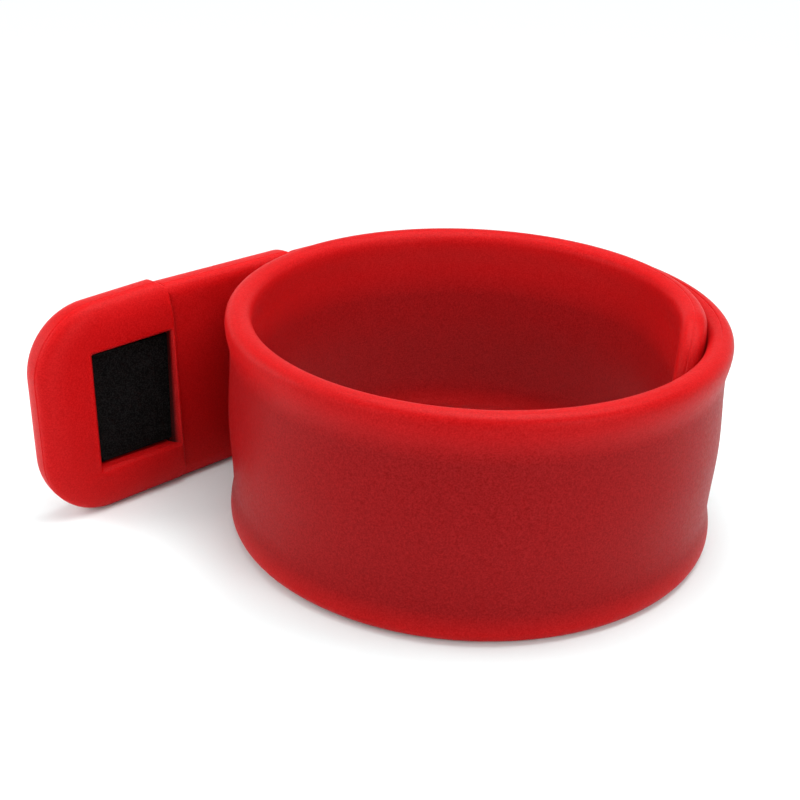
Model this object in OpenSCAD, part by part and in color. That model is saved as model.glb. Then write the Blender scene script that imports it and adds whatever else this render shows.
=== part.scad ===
// Silicone slap bracelet with a flash drive in its straight outer end.
// It stands on its long edge. The origin is on the wrist's axis, on the surface it stands on.
// +Z is up, and seen from above the strap runs clockwise from the drive to its inner end.

/* [Strap] */
// Height of the strap, from one long edge to the other
strap_h = 22.5; // [21:0.5:24]
// Thickness of the strap across its beaded edges
strap_t = 2.6; // [2.4:0.05:2.6]
// Depth of the valley inside each bead, on each face
valley_depth = 0.4; // [0.2:0.05:0.5]
// Distance from a long edge to the bottom of the valley
valley_from_edge = 4.2; // [3.6:0.1:5]
// How far the middle of each face lies below the beads
middle_drop = 0.1; // [0:0.05:0.2]
// Radius of the corners at the strap's inner end
inner_corner_r = 6.6; // [5:0.2:8]
// How far the inner layer stands above the outer layer
inner_rise = 1.3; // [0:0.05:1.5]
// How much narrower the strap is at its root, on each long edge
root_drop = 0.4; // [0:0.05:0.5]

/* [Head] */
// Direction of the straight end, from the free end towards the coil
head_angle = 45; // [40:1:50]
// Place of the free end along X
tip_x = -43.3; // [-46:0.1:-42]
// Place of the free end along Y
tip_y = -5; // [-6:0.05:-4]
// Gap between pieces that sit in each other
fit_gap = 0.1; // [0.05:0.05:0.15]

/* [Cap] */
// Length of the cap along the straight end
cap_l = 16.2; // [15.5:0.1:17]
// Height of the cap, a little more than the strap's
cap_h = 22.9; // [22.5:0.1:24.5]
// Thickness of the cap
cap_t = 4.4; // [4.2:0.1:5]
// Radius of the corners at the cap's free end
cap_corner_r = 7.1; // [6:0.1:8]
// Radius along the cap's edges
cap_edge_r = 1.5; // [1:0.1:2]
// Height of the window
window_h = 12.9; // [12.2:0.1:14]
// Length of the window along the cap
window_l = 9.5; // [8:0.1:9.6]
// Material left between the window and the open end of the cap
window_strip = 1.1; // [0.8:0.1:1.4]

/* [Drive housing] */
// Length of the housing
housing_l = 16.4; // [16:0.1:18]
// Height of the housing
housing_h = 22.65; // [22.5:0.05:22.8]
// Thickness of the housing
housing_t = 3.4; // [3.2:0.1:3.8]
// Radius of the corners at the strap's end of the housing
housing_corner_r = 1.5; // [1.3:0.1:3]
// Radius along the housing's edges
housing_edge_r = 1.1; // [0.8:0.1:1.2]

/* [Plug] */
// Height of the plug, the width of a standard plug
plug_h = 12; // [11.9:0.05:12.1]
// Thickness of the plug
plug_t = 2; // [1.8:0.1:2.2]
// Length of the plug that stands out of the housing
plug_out = 12; // [11.5:0.1:12.2]
// Width of one contact
contact_w = 1; // [0.9:0.1:1.2]

/* [Hidden] */

$fn = 64;
silicone_red = [0.72, 0.1, 0.11];
plug_black = [0.06, 0.055, 0.06];
contact_gold = [0.83, 0.66, 0.3];

// The bends of the strap, from the straight end to the inner end
TURN = 0;
RADIUS = 1;
BENDS = [
    [head_angle, 27.1],
    [135, 24.7],
    [45, 24.2],
    [180, 23.1],
    [115, 21.6],
];
bend_step = 6;

// A station is a place along the strap, with its heading and its distance from the inner end
X = 0;
Y = 1;
HEADING = 2;
FROM_END = 3;
far_from_end = 1000;
// Distances from the inner end at which the rounded end is cut into sections
END_CUTS = [inner_corner_r, 5.1, 3.7, 2.5, 1.5, 0.8, 0.35, 0.08];

bead_r = strap_t / 2;
// Angles round a bead, from the flat land on its crest down to its widest place
BEAD_ANGLES = [65, 40, 15, -5];
// Where the sections of the raised middle lie, from the valley, 0, to mid-height, 1
MIDDLE_PARTS = [0, 0.3, 0.65, 1];
shoulder_from_edge = (bead_r + valley_from_edge) / 2;

mid_h = strap_h / 2;
// Headings between which the inner layer rises
rise_from = -150;
rise_to = -360;
// Turn in which the strap widens from its root to its full height
root_turn = 26;

housing_from = cap_l + fit_gap;
housing_to = housing_from + housing_l;
strap_from = housing_to + fit_gap;
tongue_l = 5;
tongue_t = 1.5;
tongue_h = 16;
plug_in = 4;
plug_tip_chamfer = 0.5;
cavity_clear = 0.15;
cavity_l = plug_out + 0.4;
// How far a cut runs past a face, and the tongue into the strap
overrun = 1;

contact_l = 7.5;
contact_t = 0.15;
contact_from_tip = 1.6;
// Heights of the four contacts from the middle of the plug
CONTACT_HEIGHTS = [-3.5, -1, 1, 3.5];

function smooth(u) = let (v = min(max(u, 0), 1)) v * v * (3 - 2 * v);

// The place reached from station p after a clockwise bend
function after_bend(p, turn, radius) =
    let (h = p[HEADING], g = h - turn)
    [
        p[X] + radius * (sin(h) - sin(g)),
        p[Y] - radius * (cos(h) - cos(g)),
        g,
        far_from_end,
    ];

function along_head(u) = [
    tip_x + u * cos(head_angle),
    tip_y + u * sin(head_angle),
    head_angle,
    far_from_end,
];

function bend_start(i) =
    i == 0 ? along_head(strap_from)
    : after_bend(bend_start(i - 1), BENDS[i - 1][TURN], BENDS[i - 1][RADIUS]);

// The stations of one bend, without its last
function bend_stations(start, turn, radius) =
    let (n = ceil(turn / bend_step))
    [for (k = [0:n - 1]) after_bend(start, turn * k / n, radius)];

function with_distance(p, d) = [p[X], p[Y], p[HEADING], d];

last_bend = len(BENDS) - 1;

// The stations of the last bend, with closer ones where the end is rounded
function end_stations(start, turn, radius) =
    let (round_turn = inner_corner_r / radius * 180 / PI, plain_turn = turn - round_turn)
    concat(
        bend_stations(start, plain_turn, radius),
        [for (d = END_CUTS) with_distance(after_bend(start, turn - d / radius * 180 / PI, radius), d)]
    );

stations = concat(
    [for (i = [0:last_bend - 1]) each bend_stations(bend_start(i), BENDS[i][TURN], BENDS[i][RADIUS])],
    end_stations(bend_start(last_bend), BENDS[last_bend][TURN], BENDS[last_bend][RADIUS])
);

// How high the strap's lower edge is at a heading
function lift(heading) = inner_rise * smooth((heading - rise_from) / (rise_to - rise_from));

// How much the narrower root takes off each long edge at a heading
function root_cut(heading) = root_drop * (1 - smooth((head_angle - heading) / root_turn));

// How much a rounded corner takes off each long edge, at distance d from the inner end
function corner_cut(d) = d >= inner_corner_r ? 0
    : inner_corner_r - sqrt(inner_corner_r * inner_corner_r - pow(inner_corner_r - d, 2));

// How much of the thickness is left near the inner end, whose edge is a half round
function nose(d) = d >= bead_r ? 1 : sqrt(1 - pow(1 - d / bead_r, 2));

// One quarter of the section, from a long edge to mid-height.
// A row is the distance from the edge and half the thickness.
function quarter_section(half_h) = concat(
    [for (a = BEAD_ANGLES) [bead_r * (sin(BEAD_ANGLES[0]) - sin(a)), bead_r * cos(a)]],
    [[shoulder_from_edge, bead_r - valley_depth * 0.5]],
    [for (f = MIDDLE_PARTS) [
        valley_from_edge + f * (half_h - valley_from_edge),
        bead_r - valley_depth + (valley_depth - middle_drop) * smooth(f),
    ]]
);

// One side of the section, from the lower edge to the upper edge.
// A row is the height from mid-height and half the thickness.
function side_section(half_h) =
    let (q = quarter_section(half_h), n = len(q))
    concat(
        [for (row = q) [row[0] - half_h, row[1]]],
        [for (k = [n - 2:-1:0]) [half_h - q[k][0], q[k][1]]]
    );

// The closed section at a station, up the outer side and down the wrist side
function ring(p) =
    let (
        half_h = mid_h - corner_cut(p[FROM_END]) - root_cut(p[HEADING]),
        side = side_section(half_h),
        n = len(side),
        keep = nose(p[FROM_END]),
        mid_z = mid_h + lift(p[HEADING]),
        across_x = -sin(p[HEADING]) * keep,
        across_y = cos(p[HEADING]) * keep
    )
    concat(
        [for (row = side) [p[X] + across_x * row[1], p[Y] + across_y * row[1], mid_z + row[0]]],
        [for (k = [n - 1:-1:0]) let (row = side[k])
            [p[X] - across_x * row[1], p[Y] - across_y * row[1], mid_z + row[0]]]
    );

// Faces of a tube of rings of m points, n rings, closed at both ends
function tube_faces(n, m) = concat(
    [for (i = [0:n - 2], j = [0:m - 1]) each
        let (a = i * m + j, b = i * m + (j + 1) % m)
        [[a, b + m, b], [a, a + m, b + m]]],
    [for (j = [0:m / 2 - 2]) each [[j, m - 2 - j, m - 1 - j], [j, j + 1, m - 2 - j]]],
    [for (j = [0:m / 2 - 2]) each
        let (e = (n - 1) * m)
        [[e + j, e + m - 1 - j, e + m - 2 - j], [e + j, e + m - 2 - j, e + j + 1]]]
);

module place_on_head(u) {
    translate([tip_x, tip_y, 0]) rotate([0, 0, head_angle]) translate([u, 0, 0]) children();
}

// A box from x = 0, centred across the head and on its mid-height
module centred_box(l, t, h) {
    translate([0, -t / 2, mid_h - h / 2]) cube([l, t, h]);
}

// Half of a rounded edge's section: radius c from the corner's centre, thickness t, edge radius e
module edge_section(c, t, e) {
    translate([0, -t / 2]) square([c - e, t]);
    translate([0, e - t / 2]) square([c, t - 2 * e]);
    intersection() {
        translate([0, -t / 2]) square([c, t]);
        for (side = [-1, 1]) translate([c - e, side * (t / 2 - e)]) circle(r = e);
    }
}

// A slab with rounded edges, flat at x = l and with two round corners of radius c at x = 0
module soft_slab(l, h, t, c, e) {
    for (top = [0, 1])
        translate([0, 0, top * h]) mirror([0, 0, top]) {
            translate([c, 0, c]) rotate([90, 0, 0]) rotate([0, 0, 180]) rotate_extrude(angle = 90)
                edge_section(c, t, e);
            translate([c, 0, c]) rotate([0, 90, 0]) linear_extrude(l - c) edge_section(c, t, e);
        }
    translate([c, 0, c]) rotate([0, 0, 180]) linear_extrude(h - 2 * c) edge_section(c, t, e);
    translate([c, -t / 2, c]) cube([l - c, t, h - 2 * c]);
}

module strap() {
    rings = [for (p = stations) ring(p)];
    faces = tube_faces(len(rings), len(rings[0]));
    color(silicone_red) union() {
        polyhedron(points = [for (r = rings) each r], faces = faces, convexity = 10);
        place_on_head(strap_from - tongue_l) centred_box(tongue_l + overrun, tongue_t, tongue_h);
    }
}

module drive_housing() {
    tongue_slot = tongue_l + fit_gap;
    color(silicone_red) difference() {
        place_on_head(housing_to) rotate([0, 0, 180])
            soft_slab(housing_l, housing_h, housing_t, housing_corner_r, housing_edge_r);
        place_on_head(housing_to - tongue_slot)
            centred_box(tongue_slot + overrun, tongue_t + 2 * fit_gap, tongue_h + 2 * fit_gap);
        place_on_head(housing_from - overrun)
            centred_box(plug_in + fit_gap + overrun, plug_t + 2 * fit_gap, plug_h + 2 * fit_gap);
    }
}

module contact_bed(i, gap) {
    place_on_head(housing_from - plug_out + contact_from_tip - gap)
        translate([0, plug_t / 2 - contact_t, mid_h + CONTACT_HEIGHTS[i] - contact_w / 2 - gap])
            cube([contact_l + 2 * gap, contact_t + gap, contact_w + 2 * gap]);
}

module usb_plug() {
    l = plug_out + plug_in;
    half_t = plug_t / 2;
    k = plug_tip_chamfer;
    color(plug_black) difference() {
        place_on_head(housing_from - plug_out)
            translate([0, 0, mid_h - plug_h / 2]) linear_extrude(plug_h)
                polygon([
                    [k, -half_t], [l, -half_t], [l, half_t], [k, half_t], [0, half_t - k], [0, k - half_t],
                ]);
        for (i = [0:3]) contact_bed(i, fit_gap / 2);
    }
}

module contact(i) {
    color(contact_gold) contact_bed(i, 0);
}

module cap() {
    slot_t = plug_t + 2 * cavity_clear;
    slot_h = plug_h + 2 * cavity_clear;
    color(silicone_red) difference() {
        place_on_head(0) soft_slab(cap_l, cap_h, cap_t, cap_corner_r, cap_edge_r);
        place_on_head(cap_l - cavity_l) centred_box(cavity_l + overrun, slot_t, slot_h);
        place_on_head(cap_l - window_strip - window_l)
            translate([0, -cap_t, mid_h - window_h / 2]) cube([window_l, cap_t, window_h]);
    }
}

strap();
drive_housing();
usb_plug();
contact(0);  // contact_1
contact(1);  // contact_2
contact(2);  // contact_3
contact(3);  // contact_4
cap();
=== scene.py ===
import math

import bmesh
import bpy
from mathutils import Matrix, Vector


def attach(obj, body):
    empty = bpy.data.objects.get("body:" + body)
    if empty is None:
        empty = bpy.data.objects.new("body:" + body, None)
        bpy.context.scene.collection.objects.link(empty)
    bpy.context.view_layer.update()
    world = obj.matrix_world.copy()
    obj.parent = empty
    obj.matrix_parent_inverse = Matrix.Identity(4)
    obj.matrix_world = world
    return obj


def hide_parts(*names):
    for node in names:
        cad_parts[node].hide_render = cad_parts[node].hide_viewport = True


MM = 0.001

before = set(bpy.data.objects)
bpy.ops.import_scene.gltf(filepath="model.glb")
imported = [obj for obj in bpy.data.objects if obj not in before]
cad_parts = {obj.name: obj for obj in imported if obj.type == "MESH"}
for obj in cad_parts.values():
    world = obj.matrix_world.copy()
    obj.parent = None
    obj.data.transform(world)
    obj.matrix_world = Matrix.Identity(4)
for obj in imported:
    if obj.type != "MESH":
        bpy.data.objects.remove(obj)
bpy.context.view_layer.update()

# The line of the part, as in the CAD: a straight head, and then clockwise bends of so many degrees at
# a radius. Places along it are distances from the free end of the head.
TIP_X = -43.3
TIP_Y = -5.0
HEAD_ANGLE = math.radians(45)
STRAP_FROM = 32.8
BENDS = ((45, 27.1), (135, 24.7), (45, 24.2), (180, 23.1), (115, 21.6))

# The strap's section, as in the CAD: a bead along each edge, a valley inside it and a raised middle
STRAP_H = 22.5
STRAP_T = 2.6
MID_H = STRAP_H / 2
BEAD_DEPTH = 1.3
VALLEY_DEPTH = 0.4
VALLEY_FROM_EDGE = 4.2
MIDDLE_DROP = 0.1

# The cap, the housing and the plug, as in the CAD
CAP_L = 16.2
CAP_H = 22.9
CAP_T = 4.4
HOUSING_FROM = 16.3
HOUSING_TO = 32.7
HOUSING_T = 3.4
HOUSING_H = 22.65
PLUG_H = 12.0
PLUG_T = 2.0
PLUG_OUT = 12.0
CAVITY_CLEAR = 0.15


def smooth(v):
    """From 0 at 0 to 1 at 1, level at both ends and beyond them."""
    v = min(max(v, 0.0), 1.0)
    return v * v * (3 - 2 * v)


def mix(a, b, f):
    return a + (b - a) * f


# The line of the part

def strap_length():
    """How far the strap's inner end is from the free end of the head, along the line."""
    return STRAP_FROM + sum(math.radians(turn) * radius for turn, radius in BENDS)


def station(u):
    """Place and heading on the centre line, at distance u from the free end."""
    head = min(u, STRAP_FROM)
    x = TIP_X + head * math.cos(HEAD_ANGLE)
    y = TIP_Y + head * math.sin(HEAD_ANGLE)
    heading = HEAD_ANGLE
    left = u - STRAP_FROM
    for turn, radius in BENDS:
        if left <= 0:
            break
        bend = min(left / radius, math.radians(turn))
        after = heading - bend
        x += radius * (math.sin(heading) - math.sin(after))
        y -= radius * (math.cos(heading) - math.cos(after))
        heading = after
        left -= bend * radius
    return x, y, heading


def on_line(u, z, n):
    """The point at distance u along the part and height z, n to the outer side of the centre line."""
    x, y, heading = station(u)
    return x - n * math.sin(heading), y + n * math.cos(heading), z


# Meshes

# The name of the layer that says how far in from the strap's edge a point counts, for the strap's painted
# light and shade
EDGE_DISTANCE = "edge_distance"

# The parting line's groove: its half width, the shares of that at which it has rows, and where the
# edge's rounding takes over, in half widths
GROOVE_W = 0.12
GROOVE_SHARES = (0, 0.4, 0.75, 1.0)
GROOVE_SHOULDER = 1.6

# The least corner radius of a ring, and the distance within which points are joined
LEAST_R = 0.02
JOIN_WITHIN = 0.002


def mesh_object(name, points, faces, material):
    """An object of one material, from points in millimetres."""
    mesh = bpy.data.meshes.new(name)
    mesh.from_pydata([Vector(p) * MM for p in points], [], faces)
    mesh.validate()
    mesh.update()
    piece = bpy.data.objects.new(name, mesh)
    bpy.context.scene.collection.objects.link(piece)
    mesh.materials.append(material)
    return piece


def rounded_loop(box, radii, counts):
    """Points round a rectangle with rounded corners, in the plane of length and height.

    box is (low u, high u, low z, high z), radii those at its low end, its high end and, if it differs,
    the lower corner of the low end, and counts the points on a corner, a long side, the high end and
    the low end.
    """
    u0, u1, z0, z1 = box
    ra, rb = radii[:2]
    rc = radii[-1] if len(radii) == 3 else ra
    n_corner, n_side, n_high, n_low = counts
    loop = []

    def line(a, b, n):
        for k in range(n):
            loop.append((mix(a[0], b[0], k / n), mix(a[1], b[1], k / n)))

    def corner(cu, cz, r, start):
        for k in range(n_corner):
            angle = start + k / n_corner * math.pi / 2
            loop.append((cu + r * math.cos(angle), cz + r * math.sin(angle)))

    line((u0 + rc, z0), (u1 - rb, z0), n_side)
    corner(u1 - rb, z0 + rb, rb, -math.pi / 2)
    line((u1, z0 + rb), (u1, z1 - rb), n_high)
    corner(u1 - rb, z1 - rb, rb, 0)
    line((u1 - rb, z1), (u0 + ra, z1), n_side)
    corner(u0 + ra, z1 - ra, ra, math.pi / 2)
    line((u0, z1 - ra), (u0, z0 + rc), n_low)
    corner(u0 + rc, z0 + rc, rc, math.pi)
    return loop


def bridge(points, faces, rings):
    """Adds rings of the same number of points, joined one after another."""
    start = len(points)
    m = len(rings[0])
    for ring in rings:
        points.extend(ring)
    for i in range(len(rings) - 1):
        for j in range(m):
            a = start + i * m + j
            b = start + i * m + (j + 1) % m
            faces.append((a, b, b + m, a + m))


def close_ends(points, faces, m):
    """Closes the first and the last ring of m points with a face each."""
    faces.append(tuple(range(m)))
    faces.append(tuple(range(len(points) - m, len(points)))[::-1])


def closed_tube(name, rings, material):
    """A solid through rings of points, with a flat face at each end."""
    points, faces = [], []
    bridge(points, faces, rings)
    close_ends(points, faces, len(rings[0]))
    piece = mesh_object(name, points, faces, material)
    clean(piece)
    return piece


def clean(piece):
    """Joins points that lie on each other and turns the faces outwards."""
    bm = bmesh.new()
    bm.from_mesh(piece.data)
    bmesh.ops.remove_doubles(bm, verts=bm.verts, dist=JOIN_WITHIN * MM)
    bmesh.ops.dissolve_degenerate(bm, edges=bm.edges, dist=JOIN_WITHIN / 2 * MM)
    bmesh.ops.recalc_face_normals(bm, faces=bm.faces)
    bm.to_mesh(piece.data)
    bm.free()
    shade_smooth(piece)


def shade_smooth(piece):
    for polygon in piece.data.polygons:
        polygon.use_smooth = True


def edge_rows(depth, half_t, power, groove_d, n):
    """Rows of a rounded edge, from the parting line to the face.

    A row is (distance from the edge, half thickness, share of the way to the spine, depth of the
    groove). The rounding goes depth into the piece. Its power is 2 for a quarter of an ellipse, and
    more for a squarer one.
    """
    rows = []
    for f in GROOVE_SHARES:
        rows.append((0, GROOVE_W * f, 0, groove_d * (1 + math.cos(math.pi * f)) / 2))
    start = math.asin((GROOVE_W * GROOVE_SHOULDER / half_t) ** (power / 2))
    for k in range(n + 1):
        a = mix(start, math.pi / 2, k / n)
        d = depth * (1 - math.cos(a) ** (2 / power))
        rows.append((d, half_t * math.sin(a) ** (2 / power), 0, 0))
    return rows


def follow_edge(d, half):
    """An end that is as round as the long edges."""
    return d


def flat_end(half_t, r):
    """An end that meets another piece: flat, with its corners rounded to the radius r."""
    def inset(d, half):
        over = min(max(half - (half_t - r), 0), r)
        return r - math.sqrt(r * r - over * over)
    return inset


def slab_rings(box, radii, counts, rows, ends, spine, groove, back):
    """Rings of points (u, z, n): the outer side's, from its middle to the edge, and the inner side's."""
    u0, u1, z0, z1 = box
    mid = (z0 + z1) / 2

    def loop_at(d, half):
        low, high = (end(d, half) for end in ends)
        return rounded_loop(
            (u0 + low, u1 - high, z0 + d, z1 - d), [max(r - d, LEAST_R) for r in radii], counts
        )

    def ring_at(row, part, side):
        d, half, share, dip = row
        loop = loop_at(d * part, half)
        if dip > 0:
            deep = loop_at(d * part + dip, half)
            loop = [
                (mix(p[0], q[0], groove(p[0])), mix(p[1], q[1], groove(p[0])))
                for p, q in zip(loop, deep)
            ]
        if share > 0:
            loop = [
                (mix(u, min(max(u, spine[0]), spine[1]), share), mix(z, mid, share))
                for u, z in loop
            ]
        return [(u, z, side * half) for u, z in loop]

    outer = [ring_at(row, back, 1) for row in reversed(rows)]
    inner = [ring_at(row, 1, -1) for row in rows[1:]]
    return outer, inner


def slab(name, box, radii, counts, rows, ends, place, material,
         spine=None, groove=lambda u: 1, back=1, depth=None):
    """A closed slab whose edge follows rows all round; box, radii and counts are a rounded_loop's.

    ends give how far the low end and the high end stand back at a row, and place puts a point (u, z, n)
    where it belongs. spine is (low u, high u) at mid-height, where the rows of a curved slab meet; a
    flat slab has none, and two flat faces instead. groove is how much of the parting line's groove is
    there at u, and back is how much of the edge's rounding the outer side has. depth, if given, says
    what a point's distance from the edge counts for.
    """
    outer, inner = slab_rings(box, radii, counts, rows, ends, spine, groove, back)
    points, faces = [], []
    bridge(points, faces, [[place(*p) for p in ring] for ring in outer + inner])
    if spine is None:
        close_ends(points, faces, len(outer[0]))
    piece = mesh_object(name, points, faces, material)
    if depth is not None:
        half_height = (box[3] - box[2]) / 2
        from_edge = [mix(d, half_height, share) for d, half, share, dip in rows]
        values = []
        for d, ring in zip(from_edge[::-1] + from_edge[1:], outer + inner):
            values.extend(depth(d, *p) for p in ring)
        layer = piece.data.attributes.new(EDGE_DISTANCE, "FLOAT", "POINT")
        layer.data.foreach_set("value", values)
    clean(piece)
    return piece


# Materials

# The noises as (scale in cells to a metre, detail), and the range that most of their values lie in
GRAIN = (6500, 2)
FINE = (2600, 3)
CLOUD = (90, 3)
WEAR = (1800, 4)
NOISE_RANGE = (0.3, 0.7)

# Numbers of the colour sockets on a mix node
MIX_FACTOR = 0
MIX_A = 6
MIX_B = 7
MIX_RESULT = 2


def new_material(name):
    """A material, its nodes, its links and its shader."""
    material = bpy.data.materials.new(name)
    material.use_nodes = True
    nodes = material.node_tree.nodes
    shader = nodes["Principled BSDF"]
    return material, nodes, material.node_tree.links, shader


def object_place(nodes):
    """Where on the piece the shaded point is, in metres."""
    return nodes.new("ShaderNodeTexCoord").outputs["Object"]


def noise(nodes, links, kind, coords):
    """The values of one of the noises above."""
    scale, detail = kind
    node = nodes.new("ShaderNodeTexNoise")
    node.inputs["Scale"].default_value = scale
    node.inputs["Detail"].default_value = detail
    links.new(coords, node.inputs["Vector"])
    return node.outputs["Fac"]


def remap(nodes, links, value, low, high, to_low, to_high):
    """A value between low and high, brought between to_low and to_high and kept there."""
    node = nodes.new("ShaderNodeMapRange")
    node.inputs["From Min"].default_value = low
    node.inputs["From Max"].default_value = high
    node.inputs["To Min"].default_value = to_low
    node.inputs["To Max"].default_value = to_high
    links.new(value, node.inputs["Value"])
    return node.outputs["Result"]


def blend_colour(nodes, links, factor, a, b):
    """From a to b, each a colour or a socket."""
    node = nodes.new("ShaderNodeMix")
    node.data_type = "RGBA"
    for socket, value in ((node.inputs[MIX_A], a), (node.inputs[MIX_B], b)):
        if isinstance(value, tuple):
            socket.default_value = (*value, 1)
        else:
            links.new(value, socket)
    links.new(factor, node.inputs[MIX_FACTOR])
    return node.outputs[MIX_RESULT]


def bump(nodes, links, height, distance, strength, below=None):
    """A bump so high in millimetres, on top of the one below it if there is one."""
    node = nodes.new("ShaderNodeBump")
    node.inputs["Distance"].default_value = distance * MM
    node.inputs["Strength"].default_value = strength
    links.new(height, node.inputs["Height"])
    if below is not None:
        links.new(below, node.inputs["Normal"])
    return node.outputs["Normal"]


# The two tones of each red, between which the grain varies
HEAD_RED = ((0.36, 0.0010, 0.0014), (0.51, 0.0085, 0.0095))
# The strap's lighter edge tone is partly painted light, shining through the edges; its deeper middle is
# partly the steel inside
EDGE_LIT_RED = ((0.32, 0.0010, 0.0014), (0.46, 0.0085, 0.0095))
CORE_RED = ((0.195, 0.0008, 0.0012), (0.30, 0.0075, 0.0085))
# The window's wall: painted shade, darker the deeper it lies in the recess
WINDOW_SHADE_RED = ((0.020, 0.0010, 0.0010), (0.045, 0.0040, 0.0040))

# How much of the darker tone the clouds bring in, the roughness, the gloss, and the heights and
# strengths of the fine bumps and of the grain
CLOUD_SHARE = 0.25
SILICONE_ROUGHNESS = (0.38, 0.50)
SILICONE_GLOSS = 0.06
FINE_BUMP = (0.02, 0.3)
GRAIN_BUMP = (0.01, 0.35)

# Light goes in and comes out again up to so far away, and red light the furthest
SCATTER_SHARE = 0.5
SCATTER_REACH = 2
SCATTER_COLOUR = (1, 0.12, 0.12)

# The strap's middle looks deeper, from the first to the second of these distances from its edges: partly
# the steel inside it, partly painted light, as the lighter edges stand in for light shining through them
# from above
CORE_FROM = 1.8
CORE_FULL = 4.7

# The window's wall takes on painted shade between these shares of the way from the cap's face to the
# plug's back, deeper as the recess goes in
WALL_SHADE_FROM = 0.1
WALL_SHADE_FULL = 0.6


def wall_shade_mask(nodes, links):
    """How much painted shade the window's wall gets, from 0 just below the cap's wrist side to 1 well
    before the plug's back.
    """
    outwards = (-math.sin(HEAD_ANGLE), math.cos(HEAD_ANGLE), 0)
    across = nodes.new("ShaderNodeVectorMath")
    across.operation = "DOT_PRODUCT"
    across.inputs[1].default_value = outwards
    links.new(object_place(nodes), across.inputs[0])
    centre = (TIP_X * outwards[0] + TIP_Y * outwards[1]) * MM
    bright = centre - mix(CAP_T, PLUG_T, WALL_SHADE_FROM) / 2 * MM
    dark = centre - mix(CAP_T, PLUG_T, WALL_SHADE_FULL) / 2 * MM
    return remap(nodes, links, across.outputs["Value"], bright, dark, 0, 1)


def silicone_material(name, tones, core_tones=None, window_shade_tones=None):
    """Matt red silicone.

    The strap's middle is a deeper red than its edges: partly the steel inside it, partly painted light, as
    the lighter edges stand in for light shining through them from above. On the wall of the window it is
    painted shade, darker and darker towards the plug.
    """
    material, nodes, links, shader = new_material(name)
    coords = object_place(nodes)
    grain = noise(nodes, links, GRAIN, coords)
    fine = noise(nodes, links, FINE, coords)
    cloud = noise(nodes, links, CLOUD, coords)
    tone = remap(nodes, links, grain, *NOISE_RANGE, 0, 1)
    red = blend_colour(nodes, links, tone, *tones)
    shade = remap(nodes, links, cloud, *NOISE_RANGE, 0, CLOUD_SHARE)
    red = blend_colour(nodes, links, shade, red, tones[0])
    # The deeper middle, against lighter edges that are partly painted light
    if core_tones is not None:
        edge = nodes.new("ShaderNodeAttribute")
        edge.attribute_name = EDGE_DISTANCE
        core = remap(nodes, links, edge.outputs["Fac"], CORE_FROM, CORE_FULL, 0, 1)
        deep = blend_colour(nodes, links, tone, *core_tones)
        red = blend_colour(nodes, links, core, red, deep)
    # Painted shade on the window's wall, deeper towards the plug
    if window_shade_tones is not None:
        dark = blend_colour(nodes, links, tone, *window_shade_tones)
        red = blend_colour(nodes, links, wall_shade_mask(nodes, links), red, dark)
    links.new(red, shader.inputs["Base Color"])
    rough = remap(nodes, links, fine, *NOISE_RANGE, *SILICONE_ROUGHNESS)
    links.new(rough, shader.inputs["Roughness"])
    low = bump(nodes, links, fine, *FINE_BUMP)
    links.new(bump(nodes, links, grain, *GRAIN_BUMP, low), shader.inputs["Normal"])
    shader.inputs["Specular IOR Level"].default_value = SILICONE_GLOSS
    shader.inputs["Subsurface Weight"].default_value = SCATTER_SHARE
    shader.inputs["Subsurface Radius"].default_value = SCATTER_COLOUR
    shader.inputs["Subsurface Scale"].default_value = SCATTER_REACH * MM
    return material


# The plug's two tones of black, and the part of the grain's range between which they blend
BLACK_TONES = ((0.0002, 0.0002, 0.0002), (0.0095, 0.0090, 0.0090))
SPECKLE_RANGE = (0.42, 0.62)
BLACK_ROUGHNESS = (0.6, 0.75)
BLACK_GLOSS = 0.04
BLACK_BUMP = (0.01, 0.4)


def plug_material():
    """Matt black plastic with a fine speckle."""
    material, nodes, links, shader = new_material("black_plastic")
    grain = noise(nodes, links, GRAIN, object_place(nodes))
    tone = remap(nodes, links, grain, *SPECKLE_RANGE, 0, 1)
    links.new(blend_colour(nodes, links, tone, *BLACK_TONES), shader.inputs["Base Color"])
    rough = remap(nodes, links, grain, *NOISE_RANGE, *BLACK_ROUGHNESS)
    links.new(rough, shader.inputs["Roughness"])
    links.new(bump(nodes, links, grain, *BLACK_BUMP), shader.inputs["Normal"])
    shader.inputs["Specular IOR Level"].default_value = BLACK_GLOSS
    return material


# The contacts' bright and worn gold, and the part of the wear's range between which they blend
GOLD_TONES = ((0.83, 0.58, 0.22), (0.72, 0.47, 0.17))
WEAR_RANGE = (0.35, 0.65)
GOLD_ROUGHNESS = (0.22, 0.38)


def gold_material():
    """Gold plating, a little worn in patches."""
    material, nodes, links, shader = new_material("gold_plating")
    wear = noise(nodes, links, WEAR, object_place(nodes))
    tone = remap(nodes, links, wear, *WEAR_RANGE, 0, 1)
    links.new(blend_colour(nodes, links, tone, *GOLD_TONES), shader.inputs["Base Color"])
    rough = remap(nodes, links, wear, *NOISE_RANGE, *GOLD_ROUGHNESS)
    links.new(rough, shader.inputs["Roughness"])
    shader.inputs["Metallic"].default_value = 1
    return material


# The floor's cool tint turns the red light that the part throws onto it grey
FLOOR_COLOUR = (0.85, 0.94, 0.94, 1)
FLOOR_ROUGHNESS = 0.9
FLOOR_GLOSS = 0.1
WHITE = (1, 1, 1, 1)
# Away from the object the floor glows a little, so that it is white all round
GLOW = 0.55
GLOW_FROM = 70
GLOW_FULL = 170


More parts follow.
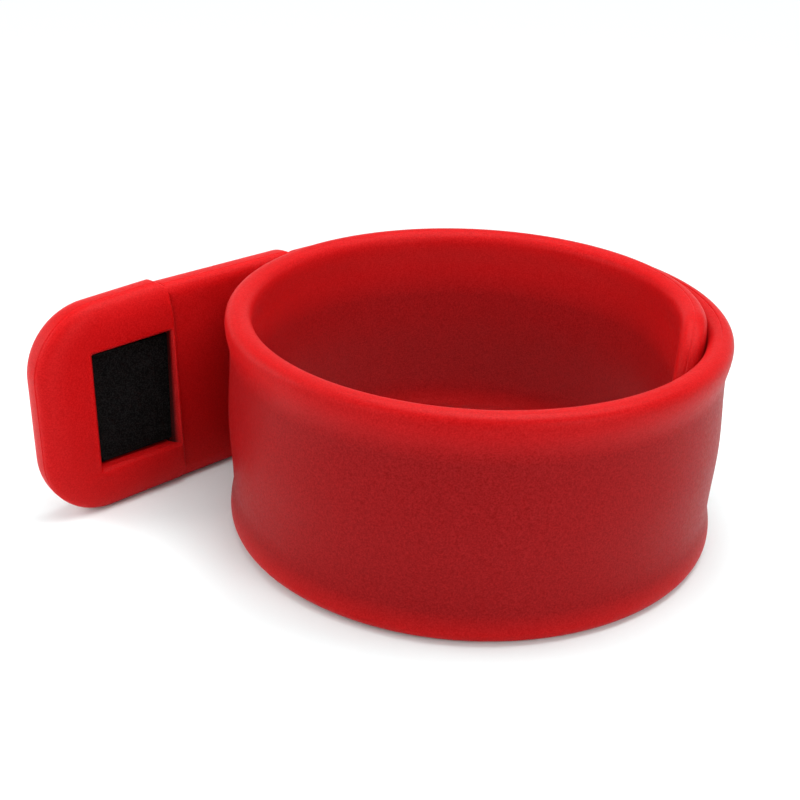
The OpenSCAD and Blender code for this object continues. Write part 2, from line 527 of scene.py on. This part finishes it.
def floor_material():
    material, nodes, links, shader = new_material("white_floor")
    shader.inputs["Base Color"].default_value = FLOOR_COLOUR
    shader.inputs["Roughness"].default_value = FLOOR_ROUGHNESS
    shader.inputs["Specular IOR Level"].default_value = FLOOR_GLOSS
    shader.inputs["Emission Color"].default_value = WHITE
    away = nodes.new("ShaderNodeVectorMath")
    away.operation = "LENGTH"
    links.new(object_place(nodes), away.inputs[0])
    glow = remap(nodes, links, away.outputs["Value"], GLOW_FROM * MM, GLOW_FULL * MM, 0, GLOW)
    links.new(glow, shader.inputs["Emission Strength"])
    return material


SILICONE = silicone_material("red_silicone", HEAD_RED)
# The strap, with lighter edges that are partly painted light and painted shade in its lower half
STRAP_SILICONE_PAINTED_LIGHT = silicone_material("red_strap_silicone_painted_light", EDGE_LIT_RED, CORE_RED)
# The window's wall, with painted shade in its recess
WINDOW_SHADE_SILICONE = silicone_material("red_window_shade_silicone", HEAD_RED, window_shade_tones=WINDOW_SHADE_RED)
BLACK = plug_material()
GOLD = gold_material()


# The strap

# Points on a corner, on a long side, and across the inner end and the root
STRAP_COUNTS = (16, 330, 12, 18)
# The power of its edges' rounding, and the depth of its parting line's groove
STRAP_POWER = 2.3
STRAP_GROOVE = 0.14
# Rows on the bead, from the bead to the distance from the edge where the spine's rows start, and from
# there to mid-height
BEAD_ROWS = 14
VALLEY_ROWS = 14
SPINE_ROWS = 7
SPINE_FROM_EDGE = 6.2

# How far the strap reaches into the housing, and its corner radii there and at the inner end
TONGUE = 1.2
ROOT_CORNER_R = 2.0
INNER_CORNER_R = 6.6
# The inner end is rounded this much more widely than the long edges
END_WIDENING = 0.8

# The line's heading falls from 45 degrees at the head to -475 degrees at the strap's inner end, and the
# headings below say where on the strap each of these small forms is. The inner layer rises:
INNER_RISE = 1.3
RISE_FROM = math.radians(-150)
RISE_TO = math.radians(-360)
# At its root, and over the first turn of so many degrees, the strap is narrower at each edge
ROOT_DROP = 0.4
ROOT_TURN = math.radians(26)
# Where a single layer stands alone its lower edge is a little further in than its upper edge
TUCK = 0.15
TUCK_AT = math.radians(-270)
TUCK_REACH = math.radians(45)
# The inner end is pressed a little closer to the outer layer
PRESS = 0.08
PRESS_FROM = math.radians(-395)
PRESS_REACH = math.radians(40)
# The groove of the parting line fades out from the first heading on, and comes back faintly from the
# second one on
GROOVE_TO = math.radians(-85)
GROOVE_BACK = math.radians(-400)
GROOVE_FADE = math.radians(30)
FAINT_GROOVE = 0.3

# What a distance from the edge counts for in the lower half, where the deeper tone comes nearer the edge
# as painted shade, and in the upper half of the inner side, where it stays further in as painted light
LOWER_SHARE = 1.5
INNER_SHARE = 0.55
# It counts for less again on the inner side near the inner end, which keeps that end lighter as painted
# light, and in full from END_TO off the end
END_SHARE = 0.72
END_FROM = 10
END_TO = 20


def on_strap(u, z, n):
    """As on_line, with the strap's narrower root, its raised inner layer, its tuck and its pressed end."""
    heading = station(u)[2]
    narrow = ROOT_DROP * (1 - smooth((HEAD_ANGLE - heading) / ROOT_TURN))
    raised = INNER_RISE * smooth((heading - RISE_FROM) / (RISE_TO - RISE_FROM))
    tucked = TUCK * smooth(1 - abs(heading - TUCK_AT) / TUCK_REACH) * (1 - z / STRAP_H) ** 2
    pressed = PRESS * smooth((PRESS_FROM - heading) / PRESS_REACH)
    return on_line(u, MID_H + (z - MID_H) * (1 - narrow / MID_H) + raised, n - tucked + pressed)


def strap_rows():
    """Rows of the strap's section, from the parting line over the bead and the valley to mid-height."""
    rows = edge_rows(BEAD_DEPTH, STRAP_T / 2, STRAP_POWER, STRAP_GROOVE, BEAD_ROWS)
    for k in range(1, VALLEY_ROWS + 1):
        d = mix(BEAD_DEPTH, SPINE_FROM_EDGE, k / VALLEY_ROWS)
        rows.append((d, strap_half(d), 0, 0))
    for k in range(1, SPINE_ROWS + 1):
        share = k / SPINE_ROWS
        d = mix(SPINE_FROM_EDGE, MID_H, share)
        rows.append((SPINE_FROM_EDGE, strap_half(d), share, 0))
    return rows


def strap_half(d):
    """Half the strap's thickness at distance d from its edge, inside the bead."""
    half_t = STRAP_T / 2
    if d < VALLEY_FROM_EDGE:
        return half_t - VALLEY_DEPTH * smooth((d - BEAD_DEPTH) / (VALLEY_FROM_EDGE - BEAD_DEPTH))
    f = (d - VALLEY_FROM_EDGE) / (MID_H - VALLEY_FROM_EDGE)
    return half_t - VALLEY_DEPTH + (VALLEY_DEPTH - MIDDLE_DROP) * smooth(f)


def strap_groove(u):
    """The parting line shows from the root to the right side, and faintly on the inner end."""
    heading = station(u)[2]
    outer = 1 - smooth((GROOVE_TO - heading) / GROOVE_FADE)
    inner = smooth((GROOVE_BACK - heading) / GROOVE_FADE)
    return max(outer, FAINT_GROOVE * inner)


def wide_end(d, half):
    """The strap's inner end, which is rounded more widely than the long edges."""
    return d + END_WIDENING * smooth(d / BEAD_DEPTH)


def strap_depth(d, u, z, n):
    """What the distance d from the edge counts for at a point, for the deeper look further in, with
    painted shade in the lower half and painted light on the inner side's upper half and near the inner
    end.
    """
    # From 0 at a quarter of the strap's height to 1 at three quarters
    upper_half = smooth(z / MID_H - 0.5)
    share = 1
    if n < 0:
        from_end = strap_length() - u
        share = INNER_SHARE * mix(END_SHARE, 1, smooth((from_end - END_FROM) / (END_TO - END_FROM)))
    return d * mix(LOWER_SHARE, share, upper_half)


def make_strap():
    """The strap, from its tongue in the housing to its inner end."""
    start = STRAP_FROM - TONGUE
    end = strap_length()
    return slab(
        "strap_skin", (start, end, 0, STRAP_H), (ROOT_CORNER_R, INNER_CORNER_R), STRAP_COUNTS,
        strap_rows(), (follow_edge, wide_end), on_strap, STRAP_SILICONE_PAINTED_LIGHT,
        spine=(start + MID_H, end - MID_H), groove=strap_groove, depth=strap_depth,
    )


# The head: drive housing and cap

# The power of its edges' rounding, and the depth of its parting line's groove
HEAD_POWER = 2.25
HEAD_GROOVE = 0.12
# The back of the head has this much of the rounding that its wrist side has
HEAD_BACK = 0.5
# The head's underside rises towards the joint between cap and housing
HEAD_LIFT = 0.2
# The head's parting line lies nearer to its wrist side
HEAD_PARTING = -0.8

# The cap's free end leans a little, and so does the joint to the housing, which also bows near the top
TIP_SHIFT = -0.2
TIP_LEAN = -0.018
JOINT_SHIFT = -0.5
JOINT_LEAN = -0.035
JOINT_BOW = -0.8
BOW_FROM = 15
BOW_POWER = 4


def joint_shift(z):
    """How far the joint between cap and housing lies from its place in the CAD, at height z."""
    rise = min(max((z - BOW_FROM) / (CAP_H - BOW_FROM), 0), 1)
    return JOINT_SHIFT + JOINT_LEAN * (z - CAP_H / 2) + JOINT_BOW * rise ** BOW_POWER


def off_centre(n, half_t):
    """Moves the parting line off the middle of the thickness, and leaves the faces in place."""
    return HEAD_PARTING * (1 - abs(n) / half_t) + n


# Points on a corner, on a long side, and across the ends at the strap and at the cap
HOUSING_COUNTS = (12, 40, 40, 40)
HOUSING_EDGE = 1.7
HOUSING_EDGE_ROWS = 16
HOUSING_CORNER_R = 1.5
HOUSING_CAP_CORNER_R = 0.5
# How far the housing starts from the cap, and how round its other end is beside its long edges
JOINT_GAP = 0.03
ROOT_END_SHARE = 0.7
# The rounding of the housing's end at the cap, how much of it is taken back near its foot, and the
# heights between which it opens up
JOINT_R = 0.8
JOINT_CLOSED = 0.9
OPEN_FROM = 15
OPEN_TO = 18.5


def on_housing(u, z, n):
    """As on_line, with the housing's end at the cap along the joint and its underside raised there."""
    fade = (HOUSING_TO - u) / (HOUSING_TO - HOUSING_FROM)
    closed = JOINT_CLOSED * (1 - smooth((z - OPEN_FROM) / (OPEN_TO - OPEN_FROM)))
    from_joint = min(max(u - CAP_L, 0), JOINT_R)
    shift = (joint_shift(z) - closed * from_joint) * fade
    lift = HEAD_LIFT * (1 - z / HOUSING_H)
    return on_line(u + shift, z + lift, off_centre(n, HOUSING_T / 2))


def root_end(d, half):
    """The housing's end at the strap."""
    return ROOT_END_SHARE * d


def make_housing():
    """The thicker block between the strap and the cap, which holds the drive."""
    half_t = HOUSING_T / 2
    return slab(
        "housing_skin", (CAP_L + JOINT_GAP, HOUSING_TO, 0, HOUSING_H),
        (HOUSING_CAP_CORNER_R, HOUSING_CORNER_R), HOUSING_COUNTS,
        edge_rows(HOUSING_EDGE, half_t, HEAD_POWER, HEAD_GROOVE, HOUSING_EDGE_ROWS),
        (flat_end(half_t, JOINT_R), root_end), on_housing, SILICONE, back=HEAD_BACK,
    )


# Points on a corner, on a long side, and across the joint and the free end
CAP_COUNTS = (16, 40, 60, 30)
CAP_EDGE = 3.1
CAP_EDGE_ROWS = 20
# Corner radii at the top of the free end and at its foot, and the rounding and the corners at the joint
CAP_CORNER_R = 7.1
CAP_LOWER_CORNER_R = 7.0
CAP_JOINT_R = 0.6
# The cap grows taller towards the joint, by this much a millimetre, and has its CAD height here
CAP_TAPER = 0.04
CAP_TAPER_AT = 11.5
# From here on the joint's line bends the cap's own lines
CAP_BEND_FROM = CAP_TAPER_AT / 2
# Edges of the cap that are sharper than this, in degrees, aren't smoothed
CAP_SHARP = 40


def on_cap(u, z, n):
    """As on_line, with the cap's taper, its raised underside, its leaning end and its end at the joint."""
    rise = CAP_TAPER * (u - CAP_TAPER_AT) * z / CAP_H
    lift = HEAD_LIFT * u / CAP_L * (1 - z / CAP_H)
    share = smooth((u - CAP_BEND_FROM) / (CAP_L - CAP_BEND_FROM))
    shift = mix(TIP_SHIFT + TIP_LEAN * (z - CAP_H / 2), joint_shift(z), share)
    return on_line(u + shift, z + rise + lift, off_centre(n, CAP_T / 2))


# Corners of the window, as (u, z): low and high end at the bottom, then low and high end at the top
WINDOW = ((5.74, 5.0), (15.4, 4.84), (5.49, 17.75), (14.95, 17.94))
# Its length and height, before its corners are put in their places
WINDOW_L = 9.55
WINDOW_H = 12.95
WINDOW_COUNTS = (8, 20, 24, 24)
WINDOW_CORNER_R = 0.2
# How far the wall nearest the housing leans into the window at its foot, at the depth of the plug
WINDOW_LEAN = 0.55
# The rounding of the window's edge, in so many steps
WINDOW_LIP = 0.32
LIP_STEPS = 6
# How far the cutter stands out of the cap's face
OVERSHOOT = 0.6
# A face of the window's wall is nearest the housing if its normal points at it by more than this
TOWARDS = 0.3


def on_window(f, g, depth):
    """The place in the window at shares f along and g up, at a share of the way down to the plug."""
    a, b, c, d = WINDOW
    low = (mix(a[0], b[0], f), mix(a[1], b[1], f))
    high = (mix(c[0], d[0], f), mix(c[1], d[1], f))
    leaning = WINDOW_LEAN * depth * max(f, 0) * (1 - min(max(g, 0), 1))
    return mix(low[0], high[0], g) - leaning, mix(low[1], high[1], g)


def window_flare():
    """The window's wall as rows of (n, how much wider it is there than at the plug)."""
    face = -CAP_T / 2
    rows = [(face - OVERSHOOT, WINDOW_LIP + OVERSHOOT)]
    for k in range(LIP_STEPS + 1):
        angle = math.pi / 2 * k / LIP_STEPS
        rows.append((face + WINDOW_LIP * math.sin(angle), WINDOW_LIP * (1 - math.sin(angle))))
    rows.append((-PLUG_T / 2, 0))
    rows.append((0, 0))
    return rows


def window_cutter():
    """A plug of the window's shape that flares out at the face, so that the window's edge is rounded."""
    rings = []
    for n, grow in window_flare():
        depth = smooth((n + CAP_T / 2) / (CAP_T / 2 - PLUG_T / 2))
        r = WINDOW_CORNER_R + grow / 2
        loop = rounded_loop((-grow, WINDOW_L + grow, -grow, WINDOW_H + grow), (r, r), WINDOW_COUNTS)
        rings.append([on_line(*on_window(u / WINDOW_L, z / WINDOW_H, depth), n) for u, z in loop])
    cutter = closed_tube("window_cutter", rings, SILICONE)
    # The faces of the wall nearest the housing get the material with the painted shade
    cutter.data.materials.append(WINDOW_SHADE_SILICONE)
    for face in cutter.data.polygons:
        towards = face.normal[0] * math.cos(HEAD_ANGLE) + face.normal[1] * math.sin(HEAD_ANGLE)
        face.material_index = 1 if towards > TOWARDS else 0
    return cutter


# Rows of the slot for the plug, as (u, how much wider it is there): its bottom, a little beyond the
# plug's end, then the mouth's rounding, and last its mouth, well past the joint
SLOT_ROWS = (
    (HOUSING_FROM - PLUG_OUT - 0.4, 0),
    (CAP_L - 0.6, 0),
    (CAP_L - 0.2, 0.12),
    (CAP_L + 1.5, 0.6),
)
SLOT_COUNTS = (6, 6, 12, 12)
SLOT_CORNER_R = 0.25


def slot_cutter():
    """The room for the plug, open towards the housing."""
    half_t = PLUG_T / 2 + CAVITY_CLEAR
    half_h = PLUG_H / 2 + CAVITY_CLEAR
    rings = []
    for u, grow in SLOT_ROWS:
        box = (-half_t - grow, half_t + grow, -half_h - grow, half_h + grow)
        loop = rounded_loop(box, (SLOT_CORNER_R, SLOT_CORNER_R), SLOT_COUNTS)
        rings.append([on_line(u, MID_H + z, n) for n, z in loop])
    return closed_tube("slot_cutter", rings, SILICONE)


def cut(piece, cutter):
    """Takes the cutter out of the piece; the cut's walls get the cutter's materials."""
    modifier = piece.modifiers.new("cut", "BOOLEAN")
    modifier.operation = "DIFFERENCE"
    modifier.solver = "EXACT"
    modifier.material_mode = "TRANSFER"
    modifier.object = cutter
    bpy.context.view_layer.update()
    graph = bpy.context.evaluated_depsgraph_get()
    mesh = bpy.data.meshes.new_from_object(piece.evaluated_get(graph))
    piece.modifiers.clear()
    piece.data = mesh
    bpy.data.objects.remove(cutter)


def make_cap():
    """The cap, with its window and the slot for the plug."""
    half_t = CAP_T / 2
    piece = slab(
        "cap_skin", (0, CAP_L, 0, CAP_H), (CAP_CORNER_R, CAP_JOINT_R, CAP_LOWER_CORNER_R), CAP_COUNTS,
        edge_rows(CAP_EDGE, half_t, HEAD_POWER, HEAD_GROOVE, CAP_EDGE_ROWS),
        (follow_edge, flat_end(half_t, CAP_JOINT_R)), on_cap, SILICONE, back=HEAD_BACK,
    )
    cut(piece, window_cutter())
    cut(piece, slot_cutter())
    shade_smooth(piece)
    piece.data.set_sharp_from_angle(angle=math.radians(CAP_SHARP))
    return piece


# Each row is a piece, the body that it rides on and the node that it stands for
STAND_INS = (
    (make_strap(), "bracelet", "strap"),
    (make_housing(), "bracelet", "drive_housing"),
    (make_cap(), "cap", "cap"),
)

for piece, body, node in STAND_INS:
    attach(piece, body)
    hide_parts(node)


# The plug and its contacts, which are the CAD's own

PLUG_BEVEL = 0.08
CONTACT_BEVEL = 0.03


def finish_node(node, material, bevel_width):
    """Gives a CAD node its material, and takes the edge off its corners."""
    node.data.materials.clear()
    node.data.materials.append(material)
    bevel = node.modifiers.new("soft_edges", "BEVEL")
    bevel.width = bevel_width * MM
    bevel.segments = 2
    bevel.limit_method = "ANGLE"


finish_node(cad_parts["usb_plug"], BLACK, PLUG_BEVEL)
for name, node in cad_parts.items():
    if name.startswith("contact_"):
        finish_node(node, GOLD, CONTACT_BEVEL)


# Floor, light and camera

FLOOR_HALF = 3000
# The floor lies this far below the object, so that their faces don't meet
FLOOR_DROP = 0.02


def make_floor():
    """A level white floor, which reaches so far past the part on each side."""
    half = FLOOR_HALF
    points = [(-half, -half, 0), (half, -half, 0), (half, half, 0), (-half, half, 0)]
    floor = mesh_object("floor", points, [(0, 1, 2, 3)], floor_material())
    floor.location.z = -FLOOR_DROP * MM


# Each row is a softbox: name, place, what it is turned towards, size and power in watts. The two that
# hang level are turned a hair to the back, so that it is settled which way their widths lie.
SOFTBOXES = (
    ("top", (25, 0, 110), (25, 0.1, 0), (110, 60), 0.092),
    ("top_back", (0, 50, 110), (0, 50.1, 0), (60, 60), 0.036),
    ("front_left", (-90, -90, 60), (-10, 0, 10), (60, 60), 0.031),
    ("front_right", (80, -100, 60), (-10, 0, 10), (60, 60), 0.053),
    ("left", (-120, 0, 60), (-10, 0, 10), (60, 60), 0.053),
    ("head", (-45, -5, 75), (-33, 5, 12), (40, 40), 0.008),
    ("head_right", (15, -20, 90), (-28, 8, 15), (40, 40), 0.021),
)


def make_softbox(name, place, towards, size, power):
    """A soft light of size (width, depth) at place, turned towards a point; it isn't seen itself."""
    light = bpy.data.lights.new(name, "AREA")
    light.shape = "RECTANGLE"
    light.size, light.size_y = (v * MM for v in size)
    light.energy = power
    lamp = bpy.data.objects.new(name, light)
    bpy.context.scene.collection.objects.link(lamp)
    lamp.location = Vector(place) * MM
    lamp.rotation_euler = (Vector(place) - Vector(towards)).to_track_quat("Z", "Y").to_euler()
    lamp.visible_camera = False


# The sky's brightness near the horizon and overhead, and the heights, as a direction's Z, up to which it
# has the one and from which on it has the other
HORIZON = 1.05
HORIZON_TO = 0.12
SKY = 0.48
SKY_FROM = 0.25


def make_world():
    """A white sky, which is dimmer overhead."""
    world = bpy.data.worlds.new("studio")
    bpy.context.scene.world = world
    world.use_nodes = True
    nodes = world.node_tree.nodes
    links = world.node_tree.links
    background = nodes["Background"]
    background.inputs["Color"].default_value = WHITE
    direction = nodes.new("ShaderNodeSeparateXYZ")
    links.new(nodes.new("ShaderNodeTexCoord").outputs["Generated"], direction.inputs[0])
    strength = remap(nodes, links, direction.outputs["Z"], HORIZON_TO, SKY_FROM, HORIZON, SKY)
    links.new(strength, background.inputs["Strength"])


# The camera's place, its angles in radians, and its focal length in pixels of a picture so many wide
CAMERA_AT = (-8.52, -119.48, 68.08)
CAMERA_YAW = 0.008
CAMERA_PITCH = 0.434
CAMERA_ROLL = 0.032
FOCAL_PIXELS = 1292.1
PICTURE_PIXELS = 800
SENSOR_WIDTH = 36
# The nearest and the furthest that it sees
NEAREST = 1
FURTHEST = 20000


def make_camera():
    """The camera, which looks down on the part and leans a little to one side."""
    forward = Vector((
        math.sin(CAMERA_YAW) * math.cos(CAMERA_PITCH),
        math.cos(CAMERA_YAW) * math.cos(CAMERA_PITCH),
        -math.sin(CAMERA_PITCH),
    ))
    level = Vector((math.cos(CAMERA_YAW), -math.sin(CAMERA_YAW), 0))
    above = level.cross(forward)
    right = math.cos(CAMERA_ROLL) * level + math.sin(CAMERA_ROLL) * above
    up = -math.sin(CAMERA_ROLL) * level + math.cos(CAMERA_ROLL) * above
    data = bpy.data.cameras.new("camera")
    data.sensor_fit = "HORIZONTAL"
    data.sensor_width = SENSOR_WIDTH
    data.lens = FOCAL_PIXELS / PICTURE_PIXELS * SENSOR_WIDTH
    data.clip_start = NEAREST * MM
    data.clip_end = FURTHEST * MM
    camera = bpy.data.objects.new("camera", data)
    bpy.context.scene.collection.objects.link(camera)
    turn = Matrix((right, up, -forward)).transposed().to_4x4()
    camera.matrix_world = Matrix.Translation(Vector(CAMERA_AT) * MM) @ turn
    bpy.context.scene.camera = camera


make_floor()
for softbox in SOFTBOXES:
    make_softbox(*softbox)
make_world()
make_camera()
bpy.context.scene.view_settings.view_transform = "Standard"
